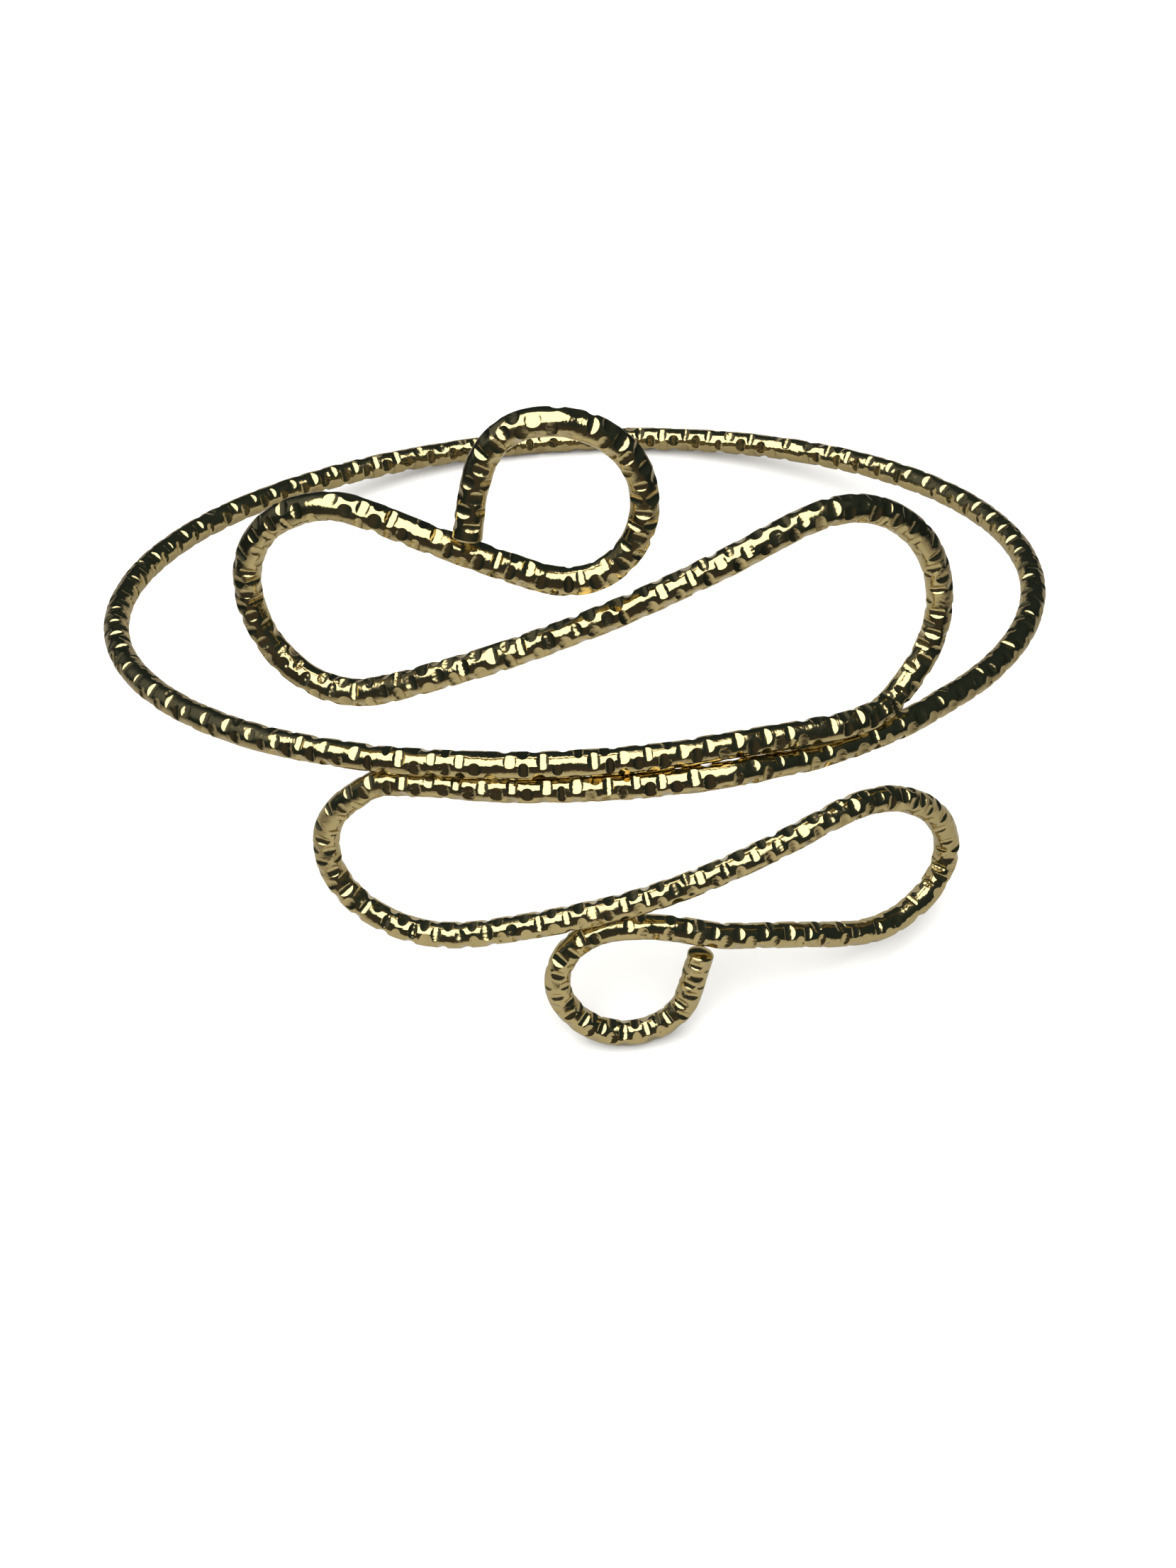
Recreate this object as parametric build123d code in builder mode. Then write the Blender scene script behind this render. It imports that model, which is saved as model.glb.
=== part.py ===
from build123d import *
from collections import namedtuple
from math import asin, cos, pi, sin, sqrt
import os

# Upper-arm cuff bent from one length of round wire. The hoop goes once round the arm
# and its two ends lie against each other in front, where they turn up and down into
# two open scrolls. The shapes are given on the arm's axis first: X across the front,
# Y towards the back, Z along the arm, with the hoop's middle at the origin. Lengths in mm.

# Driving dimensions
wire_diameter = 2.4
touch_gap = 0.1  # left between runs of wire that lie against each other
end_rounding = 0.35
hoop_half_width = 43.9  # from the arm's axis to the middle of the wire
hoop_half_depth = 32.6
upper_scroll_height = 31.5  # from the upper run to the top of the small loop
lower_scroll_height = 27.6

# Heights of the hoop in wire spacings. The wire comes off the upper run on one side,
# sinks a little on its way round the back and arrives under the upper run as the lower.
upper_run_rise = 0.70
hoop_back_rise = -0.03
hoop_end_rise = -0.56
lower_run_rise = -0.30
hoop_start_across = -0.437
hoop_end_across = 0.670
hoop_steps = 20

# How the resting position is searched for, in degrees
steepest_pitch = -60.0
widest_roll = 15.0
pitch_accuracy = 0.001
roll_accuracy = 0.01

nearly_straight = 1e-6  # mm of bow below which a bend is drawn as a straight line

wire_spacing = wire_diameter + touch_gap

# Places that the wire's middle passes, from its upper free end to its lower one.
# across: share of hoop_half_width, up: share of the scroll's height from its run,
# rise: wire spacings added to the height, out: wire spacings in front of the hoop's face
Mark = namedtuple("Mark", "across up rise out", defaults=(0.0, 0.0))

small_upper_loop = [
    Mark(-0.181, 0.700, 0.00, 0.50),
    Mark(-0.175, 0.755, 0.00, 0.33),
    Mark(-0.164, 0.830, 0.00, 0.12),
    Mark(-0.139, 0.920),
    Mark(-0.090, 0.984),
    Mark(-0.022, 1.000),
    Mark(0.048, 0.972),
    Mark(0.105, 0.906),
    Mark(0.134, 0.812),
    Mark(0.131, 0.705),
    Mark(0.096, 0.614),
    Mark(0.038, 0.561),
    Mark(-0.031, 0.558),
    Mark(-0.096, 0.592),
    Mark(-0.160, 0.630),
]

upper_left_lobe = [
    Mark(-0.286, 0.703),
    Mark(-0.348, 0.739),
    Mark(-0.414, 0.763),
    Mark(-0.491, 0.739),
    Mark(-0.562, 0.667),
    Mark(-0.605, 0.557),
    Mark(-0.613, 0.438),
    Mark(-0.592, 0.338),
    Mark(-0.550, 0.261),
    Mark(-0.490, 0.214),
    Mark(-0.418, 0.209),
    Mark(-0.343, 0.241),
    Mark(-0.270, 0.279),
]

upper_right_lobe = [
    Mark(-0.128, 0.349),
    Mark(0.076, 0.451),
    Mark(0.272, 0.550),
    Mark(0.336, 0.584),
    Mark(0.401, 0.615),
    Mark(0.468, 0.634),
    Mark(0.543, 0.617),
    Mark(0.616, 0.547),
    Mark(0.675, 0.436),
    Mark(0.706, 0.302),
    Mark(0.705, 0.184),
    Mark(0.677, 0.090),
    Mark(0.631, 0.018),
]

upper_run = [
    Mark(0.580, 0.000, -0.19, 0.20),
    Mark(0.516, 0.000, -0.21, 0.30),
    Mark(0.446, 0.000, -0.18, 0.15),
    Mark(0.370, 0.000, -0.14, 0.00),
    Mark(0.292, 0.000, -0.06, 0.00),
    Mark(0.130, 0.000, -0.05, 0.00),
    Mark(-0.090, 0.000, -0.01, 0.00),
    Mark(-0.277, 0.000, 0.03, 0.00),
]

lower_run = [
    Mark(0.606, 0.000, -0.29, 0.00),
    Mark(0.524, 0.000, -0.31, 0.00),
    Mark(0.446, 0.000, -0.32, 0.00),
    Mark(0.369, 0.000, -0.12, 0.20),
    Mark(0.292, 0.000, 0.00, 0.50),
    Mark(0.200, 0.000, 0.01, 0.40),
    Mark(0.100, 0.000, -0.04, 0.17),
    Mark(0.000, 0.000, -0.03, 0.08),
    Mark(-0.095, 0.000, -0.01, 0.04),
    Mark(-0.209, 0.000, 0.00, -0.10),
    Mark(-0.282, 0.000, 0.04, -0.18),
    Mark(-0.357, 0.000, 0.00, -0.12),
]

lower_left_lobe = [
    Mark(-0.408, 0.001, 0.00, -0.05),
    Mark(-0.453, 0.054),
    Mark(-0.500, 0.130),
    Mark(-0.531, 0.235),
    Mark(-0.529, 0.381),
    Mark(-0.485, 0.489),
    Mark(-0.422, 0.554),
    Mark(-0.351, 0.582),
    Mark(-0.273, 0.578),
    Mark(-0.194, 0.552),
]

lower_right_lobe = [
    Mark(-0.037, 0.501),
    Mark(0.114, 0.450),
    Mark(0.260, 0.387),
    Mark(0.403, 0.322),
    Mark(0.474, 0.288),
    Mark(0.551, 0.273),
    Mark(0.632, 0.314),
    Mark(0.717, 0.454),
    Mark(0.750, 0.629),
    Mark(0.718, 0.748),
    Mark(0.654, 0.804),
    Mark(0.577, 0.811),
    Mark(0.492, 0.767),
    Mark(0.407, 0.716),
    Mark(0.325, 0.678),
]

small_lower_loop = [
    Mark(0.246, 0.646),
    Mark(0.169, 0.602, 0.00, -0.10),
    Mark(0.086, 0.578, 0.00, -0.25),
    Mark(0.008, 0.579, 0.00, -0.22),
    Mark(-0.061, 0.641, 0.00, -0.10),
    Mark(-0.092, 0.779),
    Mark(-0.057, 0.917),
    Mark(0.013, 0.994),
    Mark(0.093, 0.995),
    Mark(0.161, 0.925),
    Mark(0.190, 0.800),
    Mark(0.208, 0.697),
]


def place_mark(mark, run_rise, scroll_height):
    """The mark's place on the oval face that carries the hoop and both scrolls."""
    back = sqrt(1 - mark.across**2)
    outward = Vector(mark.across / hoop_half_width, -back / hoop_half_depth).normalized()
    on_face = Vector(mark.across * hoop_half_width, -back * hoop_half_depth)
    height = mark.up * scroll_height + (run_rise + mark.rise) * wire_spacing
    return on_face + outward * mark.out * wire_spacing + Vector(0, 0, height)


def place_hoop():
    """Even steps round the oval, from the end of the upper run to the lower run."""
    start_turn = asin(-hoop_start_across)
    end_turn = 2 * pi - asin(hoop_end_across)
    places = []
    for step in range(hoop_steps + 1):
        turn = start_turn + (end_turn - start_turn) * step / hoop_steps
        if turn < pi:
            share = (turn - start_turn) / (pi - start_turn)
            rise = upper_run_rise + (hoop_back_rise - upper_run_rise) * share
        else:
            share = (turn - pi) / (end_turn - pi)
            rise = hoop_back_rise + (hoop_end_rise - hoop_back_rise) * share
        across = -hoop_half_width * sin(turn)
        towards_back = -hoop_half_depth * cos(turn)
        places.append(Vector(across, towards_back, rise * wire_spacing))
    return places


def place_wire():
    """All places in order along the wire, on the arm's axis."""
    upper = small_upper_loop + upper_left_lobe + upper_right_lobe + upper_run
    lower = lower_left_lobe + lower_right_lobe + small_lower_loop
    places = [place_mark(mark, upper_run_rise, upper_scroll_height) for mark in upper]
    places += place_hoop()
    places += [place_mark(mark, lower_run_rise, 0) for mark in lower_run]
    places += [place_mark(mark, lower_run_rise, -lower_scroll_height) for mark in lower]
    return places


def directions_at(places):
    """Inside, the wire runs parallel to the line between a place's two neighbours."""
    inner = [
        (after - before).normalized() for before, after in zip(places, places[2:])
    ]
    first_leg = (places[1] - places[0]).normalized()
    last_leg = (places[-1] - places[-2]).normalized()
    first = first_leg * 2 * first_leg.dot(inner[0]) - inner[0]
    last = last_leg * 2 * last_leg.dot(inner[-1]) - inner[-1]
    return [first] + inner + [last]


def bend_between(start, start_way, end, end_way):
    """Two arcs that meet smoothly halfway, each as its start, middle and end."""
    span = end - start
    ways = start_way + end_way
    slack = 1 - start_way.dot(end_way)
    along = span.dot(ways)
    square = span.dot(span)
    if slack < nearly_straight**2:
        leg = square / (2 * along)
    else:
        leg = (sqrt(along**2 + 2 * slack * square) - along) / (2 * slack)
    first_corner = start + start_way * leg
    last_corner = end - end_way * leg
    joint = (first_corner + last_corner) / 2
    arcs = []
    for arc_start, corner, arc_end in (
        (start, first_corner, joint),
        (joint, last_corner, end),
    ):
        chord_middle = (arc_start + arc_end) / 2
        flatness = (arc_end - arc_start).length / 2 / leg
        middle = chord_middle + (corner - chord_middle) * flatness / (1 + flatness)
        arcs.append((arc_start, middle, arc_end))
    return arcs


def bend_wire(places):
    """The whole centre line as a list of arcs."""
    ways = directions_at(places)
    arcs = []
    for start, start_way, end, end_way in zip(places, ways, places[1:], ways[1:]):
        arcs += bend_between(start, start_way, end, end_way)
    return arcs


def tip(place, pitch, roll):
    """Turn a place about the arm's X axis and then about Y."""
    return place.rotate(Axis.X, pitch).rotate(Axis.Y, roll)


def lowest(places, pitch, roll):
    upwards = Vector(0, 0, 1).rotate(Axis.Y, -roll).rotate(Axis.X, -pitch)
    return min(place.dot(upwards) for place in places)


def resting_pitch(places, roll):
    """The pitch at which the hoop's back and the lower scroll stand equally low."""
    back = [place for place in places if place.Y > 0]
    front = [place for place in places if place.Y < 0]
    least = steepest_pitch
    most = 0.0
    while most - least > pitch_accuracy:
        pitch = (least + most) / 2
        if lowest(front, pitch, roll) > lowest(back, pitch, roll):
            least = pitch
        else:
            most = pitch
    return (least + most) / 2


def balance_height(places, balance, roll):
    pitch = resting_pitch(places, roll)
    return lowest([balance], pitch, roll) - lowest(places, pitch, roll)


def resting_roll(places, balance):
    """The roll at which the balance point lies lowest, as the wire rocks into it."""
    least = -widest_roll
    most = widest_roll
    while most - least > roll_accuracy:
        third = (most - least) / 3
        if balance_height(places, balance, least + third) < balance_height(
            places, balance, most - third
        ):
            most -= third
        else:
            least += third
    return (least + most) / 2


def balance_point(arcs):
    """Centre of mass of the bent wire."""
    total = Vector()
    length = 0
    for start, middle, end in arcs:
        arc_length = (middle - start).length + (end - middle).length
        total += (start + middle * 2 + end) / 4 * arc_length
        length += arc_length
    return total / length


# The cuff is shown as it lies by itself: the back of the hoop and the bottom of the
# lower scroll touch the surface, and the front is raised.
arm_arcs = bend_wire(place_wire())
touching = [place for arc in arm_arcs for place in arc]
roll_at_rest = resting_roll(touching, balance_point(arm_arcs))
pitch_at_rest = resting_pitch(touching, roll_at_rest)

with BuildLine() as bent_line:
    for arc in arm_arcs:
        start, middle, end = [tip(place, pitch_at_rest, roll_at_rest) for place in arc]
        if (middle - (start + end) / 2).length < nearly_straight:
            Line(start, end)
        else:
            ThreePointArc(start, middle, end)

# Its middle stands over the origin and its lowest point on the surface
line_box = bent_line.line.bounding_box()
foot = Vector(line_box.center().X, line_box.center().Y, line_box.min.Z - wire_diameter / 2)

with BuildPart() as wire:
    with BuildLine() as centre_line:
        add(Location(-foot) * bent_line.line)
    with BuildSketch(Plane(origin=centre_line.line @ 0, z_dir=centre_line.line % 0)):
        Circle(wire_diameter / 2)
    sweep()
    for cut_end in (centre_line.line @ 0, centre_line.line @ 1):
        end_face = wire.faces().filter_by(GeomType.PLANE).sort_by_distance(cut_end)[0]
        fillet(end_face.edges(), radius=end_rounding)
wire.part.label = "wire"

os.makedirs("parts", exist_ok=True)
export_step(wire.part, "parts/wire.step")

arm_axis = tip(Vector(0, 0, 1), pitch_at_rest, roll_at_rest)
box = wire.part.bounding_box()
length = sum(edge.length for edge in centre_line.edges())
print(f"pitch {pitch_at_rest:.3f} roll {roll_at_rest:.3f} degrees")
print(f"arm axis {arm_axis.X:.5f} {arm_axis.Y:.5f} {arm_axis.Z:.5f}")
print(f"hoop middle {-foot.X:.3f} {-foot.Y:.3f} {-foot.Z:.3f}")
print(f"wire length {length:.1f}, volume {wire.part.volume:.1f}")
print(f"length times section {length * pi * wire_diameter**2 / 4:.1f}")
print(f"box {box.min} {box.max}")
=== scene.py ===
import bpy
import math
import random
from collections import namedtuple
import numpy as np
from mathutils import Matrix, Vector, geometry


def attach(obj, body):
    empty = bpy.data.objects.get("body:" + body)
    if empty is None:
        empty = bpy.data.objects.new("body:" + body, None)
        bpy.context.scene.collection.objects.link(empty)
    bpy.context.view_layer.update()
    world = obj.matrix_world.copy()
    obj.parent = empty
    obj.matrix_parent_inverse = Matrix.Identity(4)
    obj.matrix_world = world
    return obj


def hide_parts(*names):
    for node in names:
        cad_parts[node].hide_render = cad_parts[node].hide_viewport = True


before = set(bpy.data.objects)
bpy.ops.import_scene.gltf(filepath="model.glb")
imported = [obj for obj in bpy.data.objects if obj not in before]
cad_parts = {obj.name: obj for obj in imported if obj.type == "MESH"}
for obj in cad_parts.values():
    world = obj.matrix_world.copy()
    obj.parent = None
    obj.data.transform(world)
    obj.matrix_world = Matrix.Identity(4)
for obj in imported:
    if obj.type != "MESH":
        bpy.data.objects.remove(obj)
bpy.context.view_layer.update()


# helpers

# #rrggbb to linear r, g, b, 1
def srgbToLinear(hexColour):
    parts = [int(hexColour[i:i + 2], 16) / 255 for i in (1, 3, 5)]
    linear = [p / 12.92 if p <= 0.04045 else ((p + 0.055) / 1.055) ** 2.4 for p in parts]
    return (*linear, 1.0)


def addNode(tree, kind, settings=None, inputs=None, links=None):
    node = tree.nodes.new(kind)
    for name, value in (settings or {}).items():
        setattr(node, name, value)
    for name, value in (inputs or {}).items():
        node.inputs[name].default_value = value
    for name, source in (links or {}).items():
        tree.links.new(source, node.inputs[name])
    return node


def addObject(name, data):
    thing = bpy.data.objects.new(name, data)
    bpy.context.scene.collection.objects.link(thing)
    return thing


# tones are (place, colour) pairs
def setRamp(ramp, tones):
    elements = ramp.color_ramp.elements
    while len(elements) < len(tones):
        elements.new(0.5)
    for element, (place, colour) in zip(elements, tones):
        element.position = place
        element.color = srgbToLinear(colour)


# the route of the wire, in mm from the hoop's middle, with Z along the arm's axis

wireForm = {
    "diameter": 2.4,
    "touchGap": 0.1,        # mm between wires that lie together
    "endRounding": 0.35,    # mm, at both free ends
    "hoopHalfWidth": 43.9,
    "hoopHalfDepth": 32.6,
    "upperScrollHeight": 31.5,
    "lowerScrollHeight": 27.6,
    "upperRunRise": 0.70,   # rises are in wire spacings
    "lowerRunRise": -0.30,
    "hoopBackRise": -0.03,
    "hoopEndRise": -0.56,
    "hoopStartAcross": -0.437,  # shares of the half width
    "hoopEndAcross": 0.670,
    "hoopSteps": 20,
    "arcStep": 0.05,        # mm between points of a bend
    "lineStep": 0.1,        # mm between points of the middle line
    "smoothing": 0.8,       # mm, evens out the change from one bend to the next
    "restPitch": -23.539,   # degrees, how the cuff lies by itself
    "restRoll": -0.433,
    "restMiddle": (0.0, 5.678, 14.284),  # mm, the hoop's middle when it lies there
}
radius = wireForm["diameter"] / 2
spacing = wireForm["diameter"] + wireForm["touchGap"]
straightAngle = 1e-6   # radians, an arc that bends less is a straight line
parallelSlack = 1e-12  # 1 less the cosine between two directions that count as one

# across: share of the half width, up: share of the scroll's height, rise and out in spacings
Mark = namedtuple("Mark", "across up rise out", defaults=(0.0, 0.0))

smallUpperLoop = [
    Mark(-0.181, 0.700, 0.00, 0.50), Mark(-0.175, 0.755, 0.00, 0.33), Mark(-0.164, 0.830, 0.00, 0.12),
    Mark(-0.139, 0.920), Mark(-0.090, 0.984), Mark(-0.022, 1.000), Mark(0.048, 0.972),
    Mark(0.105, 0.906), Mark(0.134, 0.812), Mark(0.131, 0.705), Mark(0.096, 0.614),
    Mark(0.038, 0.561), Mark(-0.031, 0.558), Mark(-0.096, 0.592), Mark(-0.160, 0.630),
]
upperLeftLobe = [
    Mark(-0.286, 0.703), Mark(-0.348, 0.739), Mark(-0.414, 0.763), Mark(-0.491, 0.739),
    Mark(-0.562, 0.667), Mark(-0.605, 0.557), Mark(-0.613, 0.438), Mark(-0.592, 0.338),
    Mark(-0.550, 0.261), Mark(-0.490, 0.214), Mark(-0.418, 0.209), Mark(-0.343, 0.241),
    Mark(-0.270, 0.279),
]
upperRightLobe = [
    Mark(-0.128, 0.349), Mark(0.076, 0.451), Mark(0.272, 0.550), Mark(0.336, 0.584),
    Mark(0.401, 0.615), Mark(0.468, 0.634), Mark(0.543, 0.617), Mark(0.616, 0.547),
    Mark(0.675, 0.436), Mark(0.706, 0.302), Mark(0.705, 0.184), Mark(0.677, 0.090),
    Mark(0.631, 0.018),
]
upperRun = [
    Mark(0.580, 0.000, -0.19, 0.20), Mark(0.516, 0.000, -0.21, 0.30), Mark(0.446, 0.000, -0.18, 0.15),
    Mark(0.370, 0.000, -0.14, 0.00), Mark(0.292, 0.000, -0.06, 0.00), Mark(0.130, 0.000, -0.05, 0.00),
    Mark(-0.090, 0.000, -0.01, 0.00), Mark(-0.277, 0.000, 0.03, 0.00),
]
lowerRun = [
    Mark(0.606, 0.000, -0.29, 0.00), Mark(0.524, 0.000, -0.31, 0.00), Mark(0.446, 0.000, -0.32, 0.00),
    Mark(0.369, 0.000, -0.10, 0.19), Mark(0.292, 0.000, 0.10, 0.45), Mark(0.200, 0.000, 0.08, 0.36),
    Mark(0.100, 0.000, -0.01, 0.15), Mark(0.000, 0.000, 0.00, 0.06), Mark(-0.095, 0.000, 0.01, 0.02),
    Mark(-0.209, 0.000, 0.00, -0.10), Mark(-0.282, 0.000, 0.04, -0.18), Mark(-0.357, 0.000, 0.00, -0.12),
]
lowerLeftLobe = [
    Mark(-0.408, 0.001, 0.00, -0.05), Mark(-0.453, 0.054), Mark(-0.500, 0.130), Mark(-0.531, 0.235),
    Mark(-0.529, 0.381), Mark(-0.485, 0.489), Mark(-0.422, 0.554), Mark(-0.351, 0.582),
    Mark(-0.273, 0.578), Mark(-0.194, 0.552),
]
lowerRightLobe = [
    Mark(-0.037, 0.501), Mark(0.114, 0.450), Mark(0.260, 0.387), Mark(0.403, 0.322),
    Mark(0.474, 0.288), Mark(0.551, 0.273), Mark(0.632, 0.314), Mark(0.717, 0.454),
    Mark(0.750, 0.629), Mark(0.718, 0.748), Mark(0.654, 0.804), Mark(0.577, 0.811),
    Mark(0.492, 0.767), Mark(0.407, 0.716), Mark(0.325, 0.678),
]
smallLowerLoop = [
    Mark(0.246, 0.646), Mark(0.169, 0.602, 0.00, -0.10), Mark(0.086, 0.578, 0.00, -0.25),
    Mark(0.008, 0.579, 0.00, -0.22), Mark(-0.061, 0.641, 0.00, -0.10), Mark(-0.092, 0.779),
    Mark(-0.057, 0.917), Mark(0.013, 0.994), Mark(0.093, 0.995), Mark(0.161, 0.925),
    Mark(0.190, 0.800), Mark(0.208, 0.697),
]


def placeMark(mark, runRise, scrollHeight):
    wide, deep = wireForm["hoopHalfWidth"], wireForm["hoopHalfDepth"]
    back = math.sqrt(1 - mark.across ** 2)
    outward = np.array([mark.across / wide, -back / deep, 0.0])
    outward /= np.linalg.norm(outward)
    height = mark.up * scrollHeight + (runRise + mark.rise) * spacing
    return np.array([mark.across * wide, -back * deep, height]) + outward * mark.out * spacing


# once round the arm, from the upper run by the back to the lower run
def placeHoop():
    startTurn = math.asin(-wireForm["hoopStartAcross"])
    endTurn = 2 * math.pi - math.asin(wireForm["hoopEndAcross"])
    rises = (wireForm["upperRunRise"], wireForm["hoopBackRise"], wireForm["hoopEndRise"])
    places = []
    for step in range(wireForm["hoopSteps"] + 1):
        turn = startTurn + (endTurn - startTurn) * step / wireForm["hoopSteps"]
        rise = np.interp(turn, (startTurn, math.pi, endTurn), rises)
        places.append(np.array([-wireForm["hoopHalfWidth"] * math.sin(turn),
                                -wireForm["hoopHalfDepth"] * math.cos(turn), rise * spacing]))
    return places


def placeWire():
    upper = smallUpperLoop + upperLeftLobe + upperRightLobe + upperRun
    lower = lowerLeftLobe + lowerRightLobe + smallLowerLoop
    places = [placeMark(m, wireForm["upperRunRise"], wireForm["upperScrollHeight"]) for m in upper]
    places += placeHoop()
    places += [placeMark(m, wireForm["lowerRunRise"], 0) for m in lowerRun]
    places += [placeMark(m, wireForm["lowerRunRise"], -wireForm["lowerScrollHeight"]) for m in lower]
    return np.array(places)


def unit(vectors):
    return vectors / np.linalg.norm(vectors, axis=-1, keepdims=True)


# the wire's direction at each place, from the places on both sides of it
def directionsAt(places):
    inner = unit(places[2:] - places[:-2])
    firstLeg, lastLeg = unit(places[1] - places[0]), unit(places[-1] - places[-2])
    first = firstLeg * 2 * firstLeg.dot(inner[0]) - inner[0]
    last = lastLeg * 2 * lastLeg.dot(inner[-1]) - inner[-1]
    return np.vstack([first, inner, last])


# points from start towards end on the arc that leaves start along way
def arcPoints(start, way, end, step):
    chord = end - start
    size = np.linalg.norm(chord)
    chord = chord / size
    half = math.acos(max(-1.0, min(1.0, float(way.dot(chord)))))
    count = max(2, int(size / step))
    share = np.arange(count)[:, None] / count
    if half < straightAngle:
        return start + chord * size * share
    side = unit(chord - way * way.dot(chord))
    bend = size / (2 * math.sin(half))
    angle = 2 * half * share
    return start + bend * (np.sin(angle) * way + (1 - np.cos(angle)) * side)


# pairs of arcs from place to place, as fine points
def bendWire(places):
    step = wireForm["arcStep"]
    ways = directionsAt(places)
    points = []
    for start, startWay, end, endWay in zip(places, ways, places[1:], ways[1:]):
        span = end - start
        slack = 1 - startWay.dot(endWay)
        along = span.dot(startWay + endWay)
        square = span.dot(span)
        if slack < parallelSlack:
            leg = square / (2 * along)
        else:
            leg = (math.sqrt(along ** 2 + 2 * slack * square) - along) / (2 * slack)
        firstCorner, lastCorner = start + startWay * leg, end - endWay * leg
        joint = (firstCorner + lastCorner) / 2
        points.append(arcPoints(start, startWay, joint, step))
        points.append(arcPoints(joint, unit(lastCorner - firstCorner), end, step))
    points.append(places[-1:])
    return np.vstack(points)


# the same line as points a step apart, with their lengths along it
def evenLine(points, step):
    along = np.r_[0, np.cumsum(np.linalg.norm(np.diff(points, axis=0), axis=1))]
    even = np.linspace(0, along[-1], int(along[-1] / step) + 1)
    return even, np.stack([np.interp(even, along, points[:, k]) for k in range(3)], axis=1)


# evens the line out over reach, with both ends kept where they are
def smoothLine(points, step, reach):
    side = int(4 * reach / step)  # four times reach, beyond which the weight is nothing
    weight = np.exp(-0.5 * (np.arange(-side, side + 1) * step / reach) ** 2)
    weight /= weight.sum()
    before = 2 * points[0] - points[side:0:-1]
    after = 2 * points[-1] - points[-2:-side - 2:-1]
    padded = np.vstack([before, points, after])
    return np.stack([np.convolve(padded[:, k], weight, mode="valid") for k in range(3)], axis=1)


# how the cuff is tipped when it lies by itself
def restTurn():
    pitch, roll = math.radians(wireForm["restPitch"]), math.radians(wireForm["restRoll"])
    return np.array(Matrix.Rotation(roll, 3, "Y") @ Matrix.Rotation(pitch, 3, "X"))


# from the arm's axis to the place where the cuff lies
def toRow(points):
    return points @ restTurn().T + np.array(wireForm["restMiddle"])


# the middle line with a frame that never twists, looked up by length along it
class WireLine:

    def __init__(self):
        step = wireForm["lineStep"]
        points = toRow(bendWire(placeWire()))
        points = evenLine(points, step)[1]
        points = smoothLine(points, step, wireForm["smoothing"])
        self.along, self.points = evenLine(points, step)
        self.length = self.along[-1]
        self.ways = unit(np.gradient(self.points, axis=0))
        sides = np.empty_like(self.ways)
        notAlong = (0.3, 0.2, 0.9)  # any direction that the wire doesn't start in
        side = unit(np.cross(self.ways[0], notAlong))
        for k, way in enumerate(self.ways):
            side = side - way * way.dot(side)
            side /= np.linalg.norm(side)
            sides[k] = side
        self.sides = sides

    # place, direction and two cross directions at these lengths along the wire
    def at(self, s):
        def look(values):
            return np.stack([np.interp(s, self.along, values[:, k]) for k in range(3)], axis=1)
        way = unit(look(self.ways))
        side = look(self.sides)
        side = unit(side - way * np.sum(way * side, axis=1, keepdims=True))
        return look(self.points), way, side, np.cross(way, side)


wireLine = WireLine()
print("wire %.1f mm long" % wireLine.length)


# the small cuts in the wire's face

cutPattern = {
    "rows": 9,                   # rows of cuts round the wire
    "firstRow": 14.0,            # degrees round the wire
    "pitch": (2.30, 2.62),       # mm from one cut to the next in a row
    "longPitch": (3.7, 4.3),     # mm, where the tool left a longer plain stretch
    "skipped": 0.08,             # share of long pitches
    "rowLead": 1.24,             # mm that each row is ahead of the one before it
    "leftOut": 0.03,             # share of cuts left out of a row
    "strayAlong": 0.05,          # mm that a row's cuts typically stray from the row before
    "strayRound": 4.5,           # degrees that a cut typically strays round the wire
    "halfLength": (0.44, 0.62),  # mm along the wire
    "depth": (0.12, 0.26),       # mm
    "roundness": (1.9, 2.5),     # 2 is a round hollow, more has a flatter floor
    "rulings": 8,                # steps along each cut
    "clear": 0.88,               # under 1, neighbouring cuts may just meet
    "nudges": (0, 0.25, -0.25, 0.5, -0.5),  # mm, tried in turn where cuts meet
    "endMargin": 0.9,            # mm without cuts at each end
    "seed": 11,
}
# s: mm along the wire, turn: radians round it, half: half length, shape: roundness
Cut = namedtuple("Cut", "s turn half depth shape")


# depth in mm at u mm from the cut's middle
def cutDepth(cut, u):
    share = np.minimum(np.abs(u) / cut.half, 1.0)
    return cut.depth * (1 - share ** cut.shape)


# half the cut's width round the wire, in radians, at u mm from its middle
def cutReach(cut, u):
    return np.arccos(1 - cutDepth(cut, u) / radius)


# how steeply the cut's floor rises along the wire there
def cutSlope(cut, u):
    share = np.minimum(np.abs(u) / cut.half, 1.0)
    return cut.depth * cut.shape / cut.half * share ** (cut.shape - 1) * np.sign(u)


# from b to a, half a turn at most either way
def turnBetween(a, b):
    return (a - b + math.pi) % (2 * math.pi) - math.pi


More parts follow.
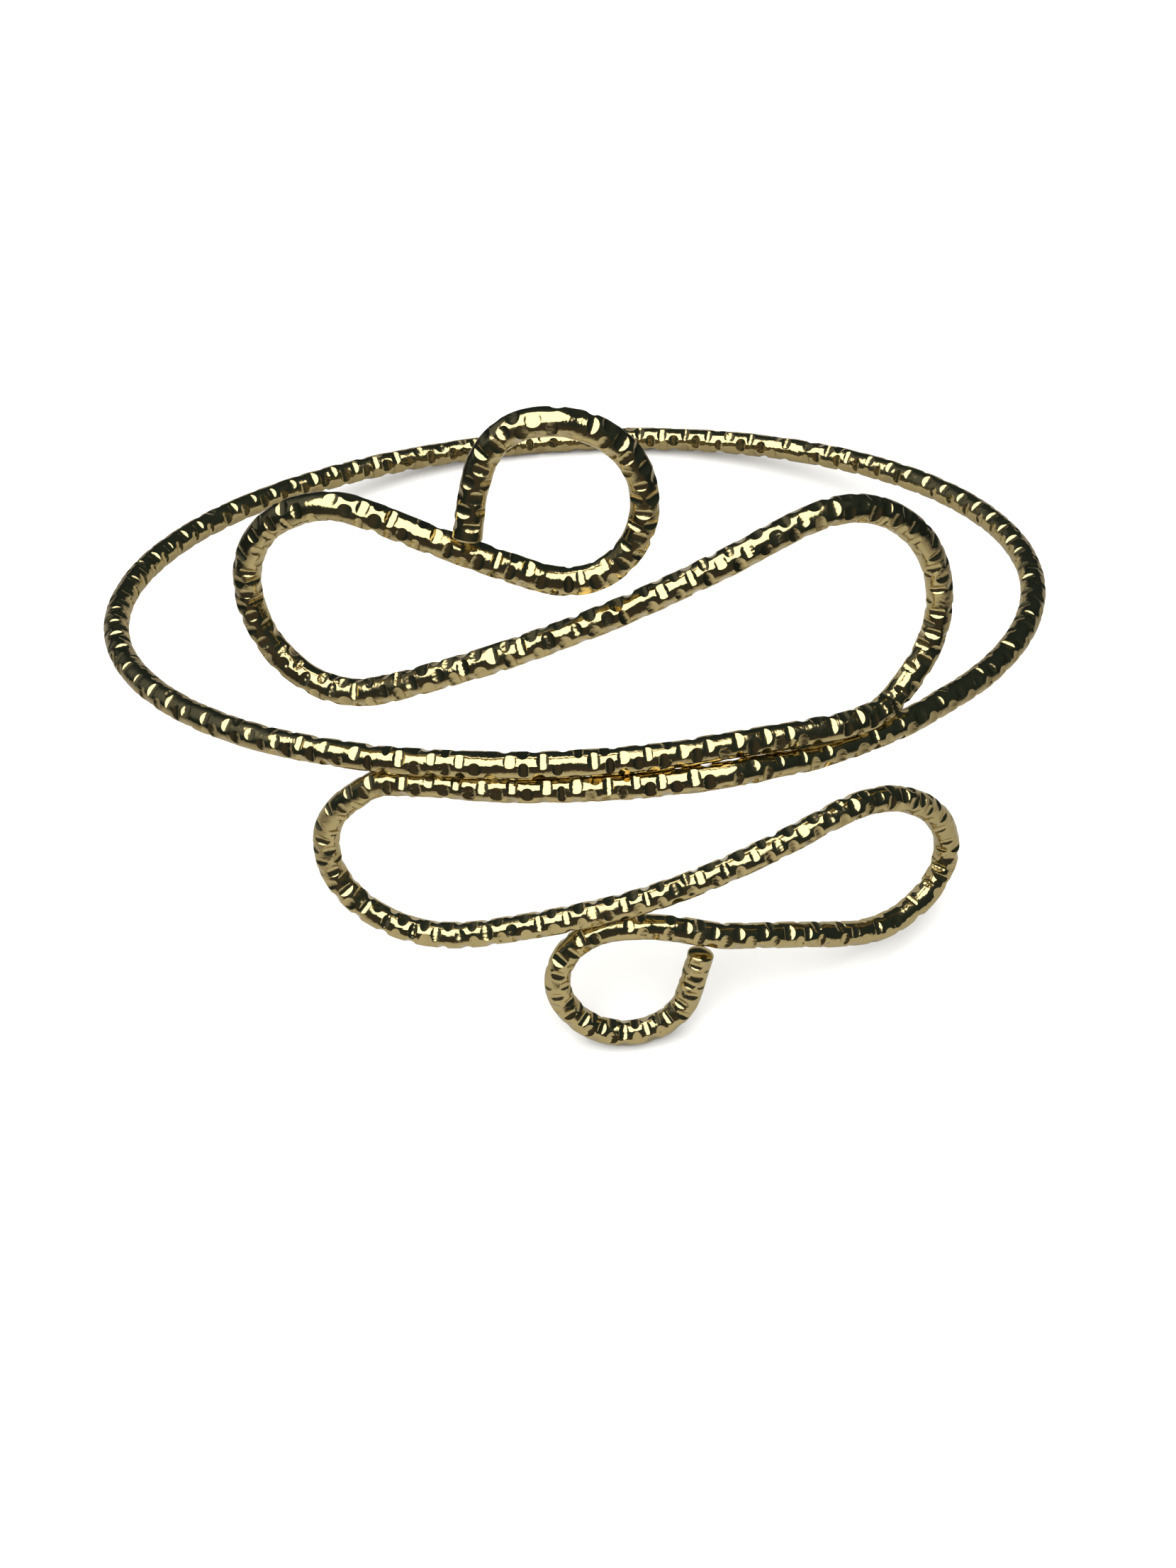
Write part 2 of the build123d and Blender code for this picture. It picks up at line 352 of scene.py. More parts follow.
# rows of cuts along the wire, each a step ahead of the one before, none across another
def placeCuts(length):
    draw = random.Random(cutPattern["seed"])
    cellLength = 2  # mm, only cuts in neighbouring cells can meet
    placed = {}

    def meets(cut):
        cell = int(cut.s // cellLength)
        for other in placed.get(cell - 1, []) + placed.get(cell, []) + placed.get(cell + 1, []):
            along = abs(cut.s - other.s) / (cut.half + other.half)
            wide = float(cutReach(cut, 0.0) + cutReach(other, 0.0))
            across = abs(turnBetween(cut.turn, other.turn)) / wide
            if along ** 2 + across ** 2 < cutPattern["clear"]:
                return True
        return False

    places = []
    s = -3 * cutPattern["rows"]  # off the wire, because each row moves the places ahead
    while s < length:
        places.append(s)
        s += draw.uniform(*cutPattern["longPitch" if draw.random() < cutPattern["skipped"] else "pitch"])
    margin = cutPattern["endMargin"]
    for row in range(cutPattern["rows"]):
        middle = math.radians(cutPattern["firstRow"]) + 2 * math.pi * row / cutPattern["rows"]
        places = [s + cutPattern["rowLead"] + draw.gauss(0, cutPattern["strayAlong"]) for s in places]
        for s in places:
            stray = math.radians(draw.gauss(0, cutPattern["strayRound"]))
            turn = float(turnBetween(middle + stray, 0.0))
            half = draw.uniform(*cutPattern["halfLength"])
            depth = draw.uniform(*cutPattern["depth"])
            shape = draw.uniform(*cutPattern["roundness"])
            skip = draw.random() < cutPattern["leftOut"]
            for nudge in cutPattern["nudges"]:
                cut = Cut(s + nudge, turn, half, depth, shape)
                if margin < cut.s < length - margin and not skip and not meets(cut):
                    placed.setdefault(int(cut.s // cellLength), []).append(cut)
                    break
    return [cut for cell in placed.values() for cut in cell]


# the plain face between the cuts is slightly wavy, as drawn wire is

waviness = {
    "waves": 16,
    "length": (0.9, 3.2),    # mm from crest to crest
    "steepness": 0.030,      # the largest slope of the strongest wave
    "strength": (0.4, 1.0),  # share of it that a wave has
    "sunk": 0.015,           # mm, so that few crests are cut off at the wire's full width
    "cutOff": 0.002,         # mm under the full width at which they are cut off
    "calmEnd": 0.6,          # mm at each end over which the waves fade out
    "seed": 5,
}


# height in mm and its slopes along and round the wire
def faceWaves(s, turn):
    draw = random.Random(waviness["seed"])
    height, slopeAlong, slopeRound = (np.zeros(len(s)) for _ in range(3))
    for _ in range(waviness["waves"]):
        rate = 2 * math.pi / draw.uniform(*waviness["length"])
        heading = draw.uniform(-math.pi, math.pi)
        rounds = round(rate * math.sin(heading) * radius)  # whole waves, so that they meet at the seam
        along = rate * math.cos(heading)
        across = rounds / radius
        steepness = waviness["steepness"] * draw.uniform(*waviness["strength"])
        size = steepness / max(math.hypot(along, across), 1.0)
        angle = along * s + rounds * turn + draw.uniform(0, 2 * math.pi)
        height += size * np.sin(angle)
        slopeAlong += size * along * np.cos(angle)
        slopeRound += size * across * np.cos(angle)
    return np.minimum(height - waviness["sunk"], -waviness["cutOff"]), slopeAlong, slopeRound


# the wire's skin: one flat sheet, length by turn, triangulated round every cut

wireSkin = {
    "stepAlong": 0.42,    # mm between plain points along the wire
    "stepsRound": 30,     # plain points round it
    "keepOff": 0.09,      # mm that plain points stay off the edge of a cut
    "capRings": 8,        # rings of faces on each rounded end
    "capMiddle": 0.4,     # the flat face in its middle, as a share of a ring
    "capBluntness": 0.8,  # 1 is a plain dome, less is flatter in the middle
}
pointWeld = 1e-5    # mm, nearer points are one
sliverArea = 1e-7   # square mm, twice the area under which a triangle is left out
seamReach = 2e-4    # mm from the sheet's long edges within which a point is on them
rimReach = 1e-3     # mm, the same at its two ends
leastDepth = 1e-4   # mm under the face from which a triangle is a cut's floor
seamSpare = 0.02    # radians past the seam from which a cut is drawn on both sides
farRound = 1.0      # radians, further round the wire than any cut reaches


# the cut's edge and the lines straight across its floor, moved round the wire by shift mm
def outline(cut, shift=0.0):
    n = cutPattern["rulings"]
    u = -cut.half * np.cos(np.pi * np.arange(n + 1) / n)
    reach = cutReach(cut, u) * radius
    middle = cut.turn * radius + shift
    places = [(cut.s + u[0], middle)]
    places += [(cut.s + u[k], middle + reach[k]) for k in range(1, n)]
    places += [(cut.s + u[n], middle)]
    places += [(cut.s + u[k], middle - reach[k]) for k in range(n - 1, 0, -1)]
    count = len(places)
    edges = [(k, (k + 1) % count) for k in range(count)]
    edges += [(k, count - k) for k in range(1, n)]
    return places, edges


# triangles of the unrolled skin, as (length, turn times radius)
def flatSheet(cuts, start, end):
    half = math.pi * radius
    places, edges = [], []
    stepsRound = wireSkin["stepsRound"]
    lengths = np.linspace(start, end, int((end - start) / wireSkin["stepAlong"]) + 1)
    # plain points, every other ring shifted by half a step
    grid = []
    for k, s in enumerate(lengths):
        shift = 0.5 * (k % 2) if 0 < k < len(lengths) - 1 else 0.0
        for j in range(stepsRound):
            y = -half + 2 * half * (j + shift) / stepsRound
            if j or shift or k in (0, len(lengths) - 1):
                grid.append((s, y))
    grid = np.array(grid)
    order = np.argsort(grid[:, 0], kind="stable")
    grid = grid[order]
    free = np.ones(len(grid), bool)
    off = wireSkin["keepOff"]
    for cut in cuts:
        a, b = np.searchsorted(grid[:, 0], (cut.s - cut.half - off, cut.s + cut.half + off))
        if a == b:
            continue
        u = grid[a:b, 0] - cut.s
        turn = np.abs(turnBetween(grid[a:b, 1] / radius, cut.turn))
        inside = turn * radius < cutReach(cut, np.minimum(np.abs(u), cut.half)) * radius + off
        ends = (grid[a:b, 0] <= start) | (grid[a:b, 0] >= end)
        free[a:b] &= ~inside | ends
    grid = grid[free]

    def add(newPlaces, newEdges):
        first = len(places)
        places.extend(newPlaces)
        edges.extend((first + a, first + b) for a, b in newEdges)

    add([tuple(p) for p in grid], [])
    for side in (-half, half):  # both edges of the sheet, which meet on the wire
        border = [(s, side) for s in lengths]
        add(border, [(k, k + 1) for k in range(len(border) - 1)])
    for s in (start, end):
        rim = [(s, -half + 2 * half * j / stepsRound) for j in range(stepsRound + 1)]
        add(rim, [(k, k + 1) for k in range(stepsRound)])
    for cut in cuts:
        add(*outline(cut))
        reach = float(cutReach(cut, 0.0)) + seamSpare
        if cut.turn + reach > math.pi:
            add(*outline(cut, -2 * half))
        if cut.turn - reach < -math.pi:
            add(*outline(cut, 2 * half))
    found = geometry.delaunay_2d_cdt([Vector(p) for p in places], edges, [], 0, pointWeld, False)
    verts = np.array([tuple(v) for v in found[0]])
    tris = np.array(found[2])
    middle = verts[tris].mean(axis=1)
    inside = (np.abs(middle[:, 1]) < half) & (middle[:, 0] > start) & (middle[:, 0] < end)
    tris = tris[inside]
    # flat slivers along the sheet's own edges are left out
    a, b, c = (verts[tris[:, k]] for k in range(3))
    area = (b[:, 0] - a[:, 0]) * (c[:, 1] - a[:, 1]) - (b[:, 1] - a[:, 1]) * (c[:, 0] - a[:, 0])
    tris = tris[np.abs(area) > sliverArea]
    used, back = np.unique(tris, return_inverse=True)
    return verts[used], back.reshape(tris.shape)


# one number for the points that meet at the seam
def weldSeam(verts, tris):
    half = math.pi * radius
    left = np.where(np.abs(verts[:, 1] + half) < seamReach)[0]
    right = np.where(np.abs(verts[:, 1] - half) < seamReach)[0]
    left = left[np.argsort(verts[left, 0])]
    right = right[np.argsort(verts[right, 0])]

    def nearest(values, among):
        after = np.clip(np.searchsorted(among, values), 1, len(among) - 1)
        return np.where(values - among[after - 1] < among[after] - values, after - 1, after)

    same = np.arange(len(verts))
    partner = nearest(verts[right, 0], verts[left, 0])
    same[right] = left[partner]
    alone = np.setdiff1d(np.arange(len(left)), partner)  # points that only one side has
    same[left[alone]] = same[right[nearest(verts[left[alone], 0], verts[right, 0])]]
    print("seam of %d points, %d of them alone" % (len(left), len(alone)))
    return same[tris]


# the sheet wrapped round the wire, with the cuts and the waves in it
def wireMesh(line, cuts):
    start = wireForm["endRounding"]
    end = line.length - wireForm["endRounding"]
    verts, tris = flatSheet(cuts, start, end)
    s, turn = verts[:, 0], verts[:, 1] / radius
    place, way, side, over = line.at(s)
    # how far out the skin lies, and which cut each triangle belongs to
    out = np.full(len(verts), radius)
    middle = verts[tris].mean(axis=1)
    owner = np.full(len(tris), -1)
    lowest = np.full(len(tris), radius - leastDepth)
    bySpot, byTri = np.argsort(s, kind="stable"), np.argsort(middle[:, 0], kind="stable")
    sortedS, sortedMiddle = s[bySpot], middle[byTri, 0]
    for index, cut in enumerate(cuts):
        a, b = np.searchsorted(sortedS, (cut.s - cut.half, cut.s + cut.half))
        near = bySpot[a:b]
        delta = turnBetween(turn[near], cut.turn)
        ok = np.abs(delta) < farRound
        near, delta = near[ok], delta[ok]
        out[near] = np.minimum(out[near], (radius - cutDepth(cut, s[near] - cut.s)) / np.cos(delta))
        a, b = np.searchsorted(sortedMiddle, (cut.s - cut.half, cut.s + cut.half))
        near = byTri[a:b]
        delta = turnBetween(middle[near, 1] / radius, cut.turn)
        ok = np.abs(delta) < farRound
        near, delta = near[ok], delta[ok]
        height = (radius - cutDepth(cut, middle[near, 0] - cut.s)) / np.cos(delta)
        deeper = height < lowest[near]
        owner[near[deeper]] = index
        lowest[near[deeper]] = height[deeper]
    outward = side * np.cos(turn)[:, None] + over * np.sin(turn)[:, None]
    height, slopeAlong, slopeRound = faceWaves(s, turn)
    calm = np.clip(np.minimum(s - start, end - s) / waviness["calmEnd"], 0, 1)
    spots = place + outward * (out + height * calm)[:, None]
    around = over * np.cos(turn)[:, None] - side * np.sin(turn)[:, None]
    waved = unit(outward - way * (slopeAlong * calm)[:, None] - around * (slopeRound * calm)[:, None])
    # a normal for each corner, so that every cut has a crisp edge and the rest is a true round
    corner = waved[tris]
    cutTris = np.where(owner >= 0)[0]
    if len(cutTris):
        own = owner[cutTris]
        mid = np.array([c.s for c in cuts])[own]
        turned = np.array([c.turn for c in cuts])[own]
        for k in range(3):
            v = tris[cutTris, k]
            slope = np.array([cutSlope(cuts[o], s[p] - m) for o, p, m in zip(own, v, mid)])
            up = side[v] * np.cos(turned)[:, None] + over[v] * np.sin(turned)[:, None]
            corner[cutTris, k] = unit(up - way[v] * slope[:, None])
    return verts, spots, weldSeam(verts, tris), corner, owner


# a rounded end: rings from the wire's side up a low dome
def addCap(line, spots, faces, corners, atEnd, firstRing):
    rounding = wireForm["endRounding"]
    count = len(firstRing)
    s = line.length if atEnd else 0.0
    place, way, side, over = (v[0] for v in line.at(np.array([s])))
    face = way if atEnd else -way
    ring = firstRing
    turns = -math.pi + 2 * math.pi * np.arange(count) / count
    around = np.outer(np.cos(turns), side) + np.outer(np.sin(turns), over)
    oldNormals = around
    blunt = wireSkin["capBluntness"]
    for step in range(1, wireSkin["capRings"] + 1):
        angle = math.pi / 2 * step / (wireSkin["capRings"] + wireSkin["capMiddle"])
        reach = radius * math.cos(angle) ** blunt
        height = rounding * (math.sin(angle) - 1)
        newSpots = place + around * reach + face * height
        steepness = radius * blunt * math.cos(angle) ** (blunt - 1) * math.sin(angle)
        normals = unit(around * rounding * math.cos(angle) + face * steepness)
        newRing = list(range(len(spots), len(spots) + count))
        spots = np.vstack([spots, newSpots])
        for k in range(count):
            n = (k + 1) % count
            quad = (ring[k], ring[n], newRing[n], newRing[k])
            turnsOver = (oldNormals[k], oldNormals[n], normals[n], normals[k])
            if not atEnd:
                quad, turnsOver = quad[::-1], turnsOver[::-1]
            faces.append(quad)
            corners.append(turnsOver)
        ring, oldNormals = newRing, normals
    flat = tuple(ring) if atEnd else tuple(ring[::-1])
    faces.append(flat)
    corners.append([face] * count)
    return spots


# the whole wire as one mesh, in metres
def buildWire(line):
    cuts = placeCuts(line.length)
    print("%d cuts in the wire's face" % len(cuts))
    verts, spots, tris, corner, owner = wireMesh(line, cuts)
    whole = (tris[:, 0] != tris[:, 1]) & (tris[:, 1] != tris[:, 2]) & (tris[:, 2] != tris[:, 0])
    tris, corner, owner = tris[whole], corner[whole], owner[whole]
    faces = [tuple(t) for t in tris]
    corners = [tuple(c) for c in corner]
    # all triangles face outwards
    a, b, c = (spots[tris[:, k]] for k in range(3))
    facing = np.einsum("ij,ij->i", np.cross(b - a, c - a), corner.mean(axis=1))
    for k in np.where(facing < 0)[0]:
        faces[k] = faces[k][::-1]
        corners[k] = corners[k][::-1]
    half = math.pi * radius
    start, end = wireForm["endRounding"], line.length - wireForm["endRounding"]
    for atEnd, s in ((False, start), (True, end)):
        rim = np.where((np.abs(verts[:, 0] - s) < rimReach) & (verts[:, 1] < half - rimReach))[0]
        rim = rim[np.argsort(verts[rim, 1])]
        spots = addCap(line, spots, faces, corners, atEnd, list(rim))
    used = np.unique(np.concatenate([np.asarray(f) for f in faces]))
    number = np.full(len(spots), -1)
    number[used] = np.arange(len(used))
    faces = [tuple(int(number[v]) for v in f) for f in faces]
    mesh = bpy.data.meshes.new("wire_skin")
    mesh.from_pydata([tuple(p) for p in spots[used] / 1000], [], faces)
    # where each corner lies on the unrolled wire, in mm, and whether it is on a cut's floor
    flat = np.zeros((len(spots), 2))
    flat[:len(verts)] = verts
    capPoints = len(spots) - len(verts)  # the first half of them is on the wire's first end
    flat[len(verts):, 0] = np.where(np.arange(capPoints) < capPoints / 2, 0, line.length)
    flat = flat[used]
    loopVerts = np.zeros(len(mesh.loops), dtype=np.int32)
    mesh.loops.foreach_get("vertex_index", loopVerts)
    unrolled = flat[loopVerts].copy()
    loopTotals = np.array([len(f) for f in faces])
    loopStarts = np.r_[0, np.cumsum(loopTotals)[:-1]]
    # corners on the far side of the seam
    for first, total in zip(loopStarts[:len(tris)], loopTotals[:len(tris)]):
        y = unrolled[first:first + total, 1]
        if y.max() - y.min() > half:
            y[y < 0] += 2 * half
    layer = mesh.uv_layers.new(name="unrolled")
    layer.data.foreach_set("uv", unrolled.astype(np.float32).ravel())
    floor = np.zeros(len(faces), dtype=np.float32)
    floor[:len(owner)] = owner >= 0
    tone = mesh.attributes.new("cutFloor", "FLOAT", "FACE")
    tone.data.foreach_set("value", floor)
    mesh.shade_smooth()
    mesh.normals_split_custom_set(np.vstack([np.asarray(c) for c in corners]).astype(np.float32))
    mesh.validate()
    mesh.update()
    return mesh


wireShape = addObject("gold_wire", buildWire(wireLine))
print("wire skin: %d faces" % len(wireShape.data.polygons))


# material: brass wire, cut with a diamond tool, plated with pale gold and polished

goldFinish = {
    "colour": "#c9b784",
    "polish": (0.07, 0.19),   # roughness, from the brightest polish to where fingers have dulled it
    "dullPatch": 4.0,         # mm across a dulled patch
    "dullTones": (0.35, 0.7),  # of the patches' noise, where the polish is brightest and dullest
    "ripple": 0.55,           # mm across the soft dents that drawing left in the face
    "rippleHeight": 0.040,    # mm
    "chatter": (0.14, 1.1),   # mm along and round the wire, the tool's fine marks
    "chatterHeight": 0.0060,  # mm
}


# a mirror-like pale gold: soft dents and fine tool marks make the edges of what it mirrors uneven
def platedGold():
    material = bpy.data.materials.new("polished_pale_gold_plating")
    material.use_nodes = True
    tree = material.node_tree
    shader = tree.nodes["Principled BSDF"]
    shader.inputs["Base Color"].default_value = srgbToLinear(goldFinish["colour"])
    shader.inputs["Metallic"].default_value = 1.0
    unrolled = addNode(tree, "ShaderNodeUVMap", {"uv_map": "unrolled"}).outputs["UV"]
    # dulled patches
    patches = addNode(tree, "ShaderNodeTexNoise", {},
                      {"Scale": 1 / goldFinish["dullPatch"], "Detail": 2.0}, {"Vector": unrolled})
    brightest, dullest = goldFinish["dullTones"]
    low, high = goldFinish["polish"]
    polish = addNode(tree, "ShaderNodeMapRange", {},
                     {"From Min": brightest, "From Max": dullest, "To Min": low, "To Max": high},
                     {"Value": patches.outputs["Fac"]})
    tree.links.new(polish.outputs["Result"], shader.inputs["Roughness"])
    # soft dents
    ripple = addNode(tree, "ShaderNodeTexNoise", {},
                     {"Scale": 1 / goldFinish["ripple"], "Detail": 1.0}, {"Vector": unrolled})
    dented = addNode(tree, "ShaderNodeBump", {},
                     {"Strength": 1.0, "Distance": goldFinish["rippleHeight"] / 1000},
                     {"Height": ripple.outputs["Fac"]})
    # tool marks straight across the wire
    along, across = goldFinish["chatter"]
    stretched = addNode(tree, "ShaderNodeVectorMath", {"operation": "MULTIPLY"},
                        {1: (1 / along, 1 / across, 1)}, {0: unrolled})
    chatter = addNode(tree, "ShaderNodeTexNoise", {},
                      {"Scale": 1.0, "Detail": 1.0}, {"Vector": stretched.outputs[0]})
    marked = addNode(tree, "ShaderNodeBump", {},
                     {"Strength": 1.0, "Distance": goldFinish["chatterHeight"] / 1000},
                     {"Height": chatter.outputs["Fac"], "Normal": dented.outputs["Normal"]})
    tree.links.new(marked.outputs["Normal"], shader.inputs["Normal"])
    return material


wireShape.data.materials.append(platedGold())
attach(wireShape, "root")
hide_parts("wire")
print("gold plating made")


# stage, light and camera

floorForm = {
    "radius": 1.4,              # m
    "flatShare": 0.6,           # of the radius, beyond it the floor sweeps up
    "rimHeight": 0.8,           # of the radius
    "innerRings": (0.02, 0.2),  # m
    "sides": 48,
    "sweepRings": 12,
    "colour": "#f2f1ef",
}
mattPaper = {
    "roughness": 0.9,
    "shine": 0.2,               # specular level
}
# the oval that the metal mirrors instead of the floor: a painted reflection, grey paper seen only in the
# metal, its tones painting light that fades towards its edge
mirroredSheet = {
    "half": (0.13, 0.195),      # m, half its width and depth
    "middle": (0.004, -0.052),  # m
    "height": 0.0001,           # m over the floor
    # painted shade: darker from the middle to the edge, painting the light as it falls off over the
    # sheet
    "tones": [                  # from its middle to its edge
        (0.0, "#aba9a3"), (0.15, "#a9a7a1"), (0.31, "#a09e98"), (0.45, "#8d8a83"),
        (0.62, "#7b7873"), (0.78, "#656362"), (0.92, "#4b4a49"), (1.0, "#363534"),
    ],
}
softbox = {
    "glow": 2.8,                # 1 is white on the page
    "half": (0.147, 0.152),     # m, half its width and depth
    "rim": 0.12,                # share of that over which its edge fades
    "distance": 0.204,          # m from the hoop's middle
    "rise": 63.8,               # degrees above the arm's level, at the viewer's side
    "aside": -11.4,             # degrees to the right
}
floorFill = {
    "power": 16.5,              # W
    "size": 1.6,                # m
    "height": 0.9,              # m over the hoop's middle
}
# what the polished wire mirrors beyond the light and the sheet: a dark room
room = {
    # from straight below to straight above: share of the way, colour
    "tones": [
        (0.000, "#21292d"), (0.420, "#21292d"), (0.500, "#262f34"), (0.620, "#2b353a"),
        (0.850, "#303a3f"), (0.940, "#3e454a"), (1.000, "#525a60"),
    ],
    # degrees from the viewer to the right, degrees up, colour, and the cosines of the angles from
    # there at which it starts and is full
    "sides": [
        (-118, 34, "#686e76", 0.70, 1.0),  # paler behind at the left
        (-10, 0, "#474341", 0.60, 1.0),    # warmer towards the camera
    ],
}
ovalSides = 96


# rise degrees above the level, towards 0 at the viewer's side and 90 to the right
def direction(rise, towards=0.0):
    rise, towards = math.radians(rise), math.radians(towards)
    level = math.cos(rise)
    return (math.sin(towards) * level, -math.cos(towards) * level, math.sin(rise))


# the same, measured from the tipped arm
def armDirection(rise, towards=0.0):
    return Vector(restTurn() @ np.array(direction(rise, towards)))


# turns a thing at place to face target, with its own X axis along the arm's
def faceTo(thing, place, target):
    back = (Vector(place) - Vector(target)).normalized()
    up = back.cross(armDirection(0, 90)).normalized()
    turned = Matrix((up.cross(back), up, back)).transposed()
    thing.matrix_world = Matrix.Translation(place) @ turned.to_4x4()


# matt paper scatters all light, so it has no highlight of its own
def makePaper(name):
    material = bpy.data.materials.new(name)
    material.use_nodes = True
    shader = material.node_tree.nodes["Principled BSDF"]
    shader.inputs["Roughness"].default_value = mattPaper["roughness"]
    shader.inputs["Specular IOR Level"].default_value = mattPaper["shine"]
    return material, shader


# a round pale floor that sweeps up at its rim
def makeFloor():
    sides = floorForm["sides"]
    size = floorForm["radius"]
    flat = floorForm["flatShare"]
    sweep = 1 - flat
    profile = [(r, 0.0) for r in floorForm["innerRings"]] + [(size * flat, 0.0)]
    profile += [(size * (flat + sweep * math.sin(a)), size * sweep * (1 - math.cos(a)))
                for a in np.linspace(0.1, math.pi / 2, floorForm["sweepRings"])]
    profile += [(size, size * floorForm["rimHeight"])]
    turns = [2 * math.pi * k / sides for k in range(sides)]
    verts = [(0, 0, 0)]
    for r, z in profile:
        verts += [(r * math.cos(a), r * math.sin(a), z) for a in turns]
    faces = [(0, 1 + k, 1 + (k + 1) % sides) for k in range(sides)]
    for ring in range(len(profile) - 1):
        a, b = 1 + ring * sides, 1 + (ring + 1) * sides
        faces += [(a + k, b + k, b + (k + 1) % sides, a + (k + 1) % sides) for k in range(sides)]
    mesh = bpy.data.meshes.new("floor")
    mesh.from_pydata(verts, [], faces)
    mesh.shade_smooth()
    material, shader = makePaper("matt_white_paper")
    shader.inputs["Base Color"].default_value = srgbToLinear(floorForm["colour"])
    mesh.materials.append(material)
    floor = addObject("floor", mesh)
    floor.visible_glossy = False  # the metal mirrors the small sheet in its place


# a flat oval across its own Z axis
def makeOval(name, halfWidth, halfDepth):
    turns = [2 * math.pi * k / ovalSides for k in range(ovalSides)]
    edge = [(halfWidth * math.cos(a), halfDepth * math.sin(a), 0) for a in turns]
    mesh = bpy.data.meshes.new(name)
    mesh.from_pydata(edge, [], [list(range(ovalSides))])
    return addObject(name, mesh)


# 0 at an oval's middle, 1 at its edge
def ovalReach(tree, halfWidth, halfDepth):
    coords = addNode(tree, "ShaderNodeTexCoord")
    shrunk = addNode(tree, "ShaderNodeVectorMath", {"operation": "DIVIDE"},
                     {1: (halfWidth, halfDepth, 1)}, {0: coords.outputs["Object"]})
    return addNode(tree, "ShaderNodeVectorMath", {"operation": "LENGTH"}, links={0: shrunk.outputs[0]})


# the metal mirrors a small pale sheet in a dark room, instead of the wide white floor; the sheet is a
# painted reflection seen only in the metal, and its tones paint the light fading outwards
def makeSheet():
    half = mirroredSheet["half"]
    sheet = makeOval("sheet_below", *half)
    sheet.location = (*mirroredSheet["middle"], mirroredSheet["height"])
    # painted reflection: the grey paper's colour darkens outwards, standing in for light falling off
    # over it
    material, shader = makePaper("painted_reflection_sheet_paper")
    tree = material.node_tree
    reach = ovalReach(tree, *half)
    tone = addNode(tree, "ShaderNodeValToRGB", links={"Fac": reach.outputs["Value"]})
    setRamp(tone, mirroredSheet["tones"])
    tree.links.new(tone.outputs["Color"], shader.inputs["Base Color"])
    sheet.data.materials.append(material)
    sheet.visible_camera = sheet.visible_diffuse = sheet.visible_shadow = False


# an oval of lit cloth with a soft edge, over the cuff
def makeSoftbox(target):
    aside = math.radians(softbox["aside"])
    way = armDirection(softbox["rise"]) * math.cos(aside) + armDirection(0, 90) * math.sin(aside)
    half = softbox["half"]
    inner, outer = 1 - softbox["rim"] / 2, 1 + softbox["rim"] / 2
    box = makeOval("overhead_softbox", half[0] * outer, half[1] * outer)
    faceTo(box, target + way * softbox["distance"], target)
    material = bpy.data.materials.new("lit_softbox_cloth")
    material.use_nodes = True
    tree = material.node_tree
    tree.nodes.remove(tree.nodes["Principled BSDF"])
    reach = ovalReach(tree, *half)
    fade = addNode(tree, "ShaderNodeMapRange", {"interpolation_type": "SMOOTHSTEP"},
                   {"From Min": outer, "From Max": inner, "To Max": softbox["glow"]},
                   {"Value": reach.outputs["Value"]})
    cloth = addNode(tree, "ShaderNodeEmission", links={"Strength": fade.outputs["Result"]})
    tree.links.new(cloth.outputs["Emission"], tree.nodes["Material Output"].inputs["Surface"])
    box.data.materials.append(material)
    box.visible_camera = box.visible_shadow = False  # a view from above looks through it


# whitens the floor, and doesn't show in the metal
def makeFill(target):
    data = bpy.data.lights.new("floor_fill", "AREA")
    data.shape = "RECTANGLE"
    data.size = data.size_y = floorFill["size"]
    data.energy = floorFill["power"]
    fill = addObject("floor_fill", data)
    faceTo(fill, target + Vector((0, 0, floorFill["height"])), target)
    fill.visible_glossy = False


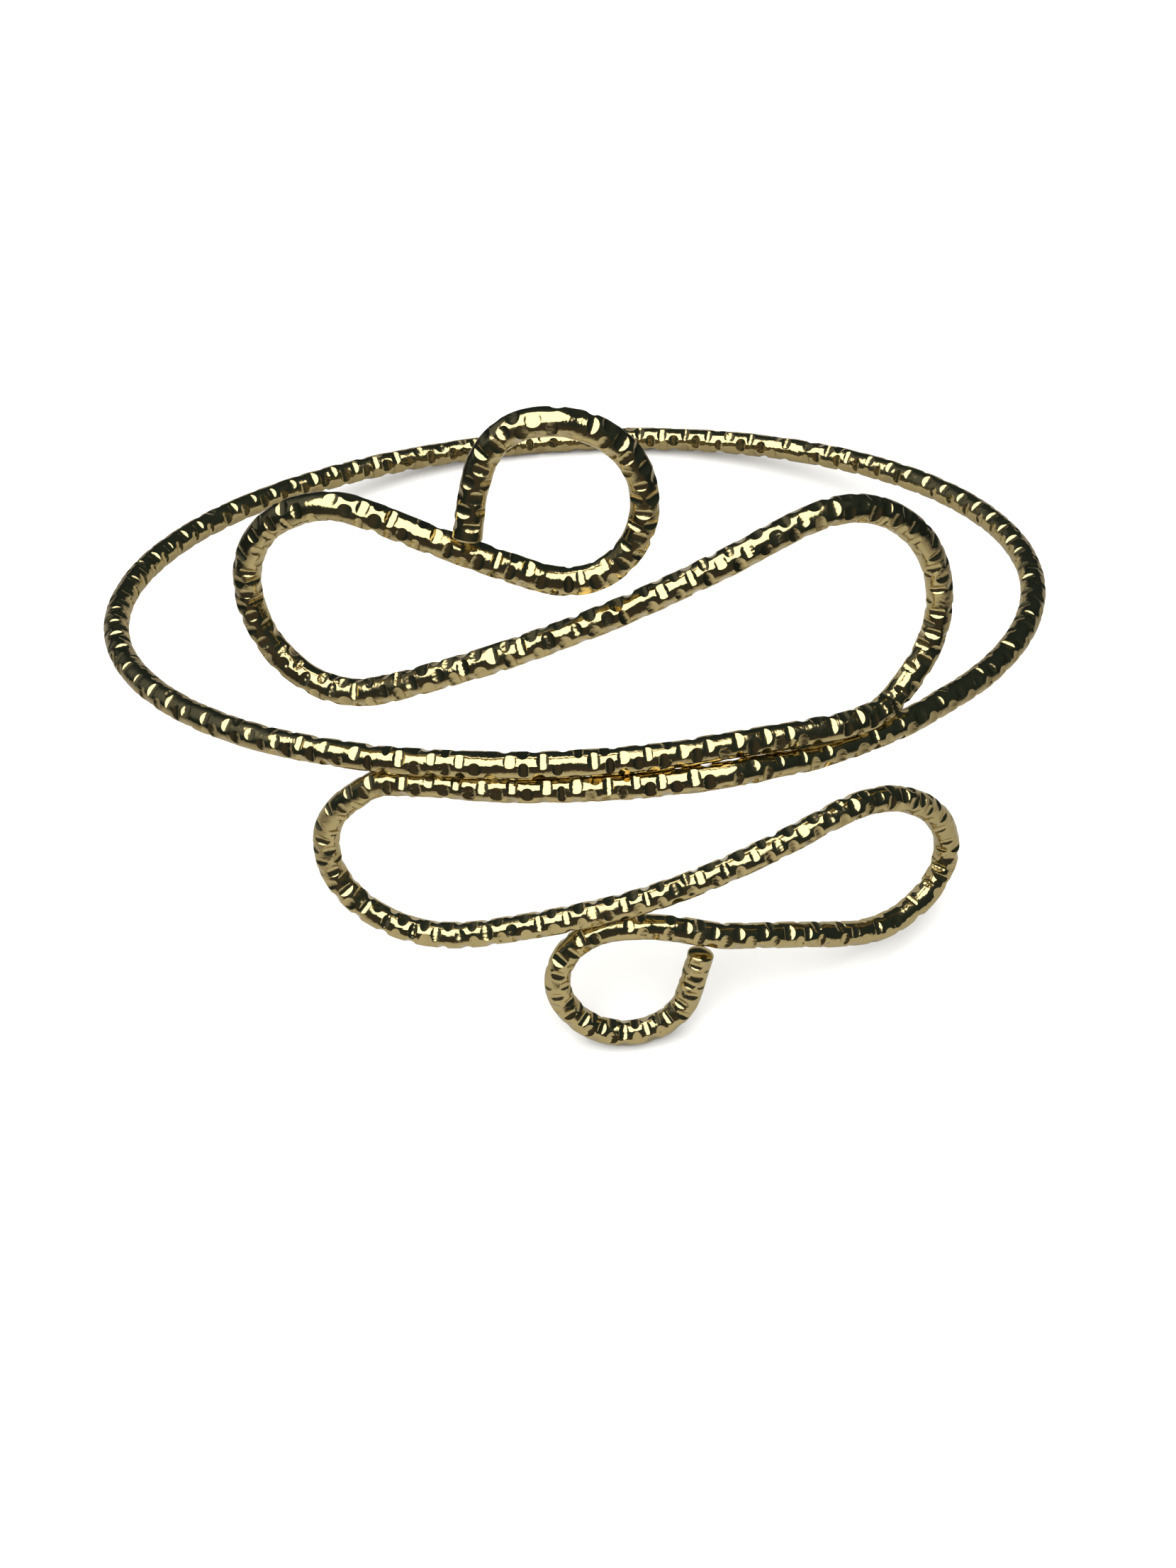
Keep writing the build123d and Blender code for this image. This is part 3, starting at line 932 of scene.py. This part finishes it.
def makeRoom():
    world = bpy.data.worlds.new("room")
    bpy.context.scene.world = world
    world.use_nodes = True
    tree = world.node_tree
    way = addNode(tree, "ShaderNodeTexCoord").outputs["Generated"]
    parts = addNode(tree, "ShaderNodeSeparateXYZ", links={"Vector": way})
    share = addNode(tree, "ShaderNodeMapRange", {}, {"From Min": -1.0, "From Max": 1.0},
                    {"Value": parts.outputs["Z"]})
    tone = addNode(tree, "ShaderNodeValToRGB", links={"Fac": share.outputs["Result"]})
    setRamp(tone, room["tones"])
    colour = tone.outputs["Color"]
    for towards, rise, sideColour, starts, full in room["sides"]:
        cosine = addNode(tree, "ShaderNodeVectorMath", {"operation": "DOT_PRODUCT"},
                         {1: direction(rise, towards)}, {0: way})
        factor = addNode(tree, "ShaderNodeMapRange", {"interpolation_type": "SMOOTHSTEP"},
                         {"From Min": starts, "From Max": full}, {"Value": cosine.outputs["Value"]})
        # a colour mix has its factor at 0, its colours at 6 and 7 and its result at 2
        mixed = addNode(tree, "ShaderNodeMix", {"data_type": "RGBA"}, {7: srgbToLinear(sideColour)},
                        {0: factor.outputs["Result"], 6: colour})
        colour = mixed.outputs[2]
    tree.links.new(colour, tree.nodes["Background"].inputs["Color"])


# the photograph's view, measured from the arm's axis
photoView = {
    "lens": 51.27,                     # mm, on a sensor of 36 mm
    "sensor": 36,
    "clip": (0.005, 20),               # m
    "place": (0.06, -187.98, 106.87),  # mm from the hoop's middle
    "right": (0.998, -0.039, -0.057),
    "up": (0.069, 0.567, 0.821),
}


def makeCamera():
    data = bpy.data.cameras.new("camera")
    data.lens = photoView["lens"]
    data.sensor_width = photoView["sensor"]
    data.clip_start, data.clip_end = photoView["clip"]
    camera = addObject("camera", data)
    right = unit(restTurn() @ np.array(photoView["right"]))
    back = unit(np.cross(right, restTurn() @ np.array(photoView["up"])))
    up = np.cross(back, right)
    place = toRow(np.array(photoView["place"])) / 1000
    matrix = np.eye(4)
    matrix[:3, 0], matrix[:3, 1], matrix[:3, 2], matrix[:3, 3] = right, up, back, place
    camera.matrix_world = Matrix(matrix.tolist())
    bpy.context.scene.camera = camera


hoopMiddle = Vector(wireForm["restMiddle"]) / 1000
makeFloor()
makeSheet()
makeSoftbox(hoopMiddle)
makeFill(hoopMiddle)
makeRoom()
makeCamera()
bpy.context.scene.view_settings.view_transform = "Standard"
print("stage, light and camera set")
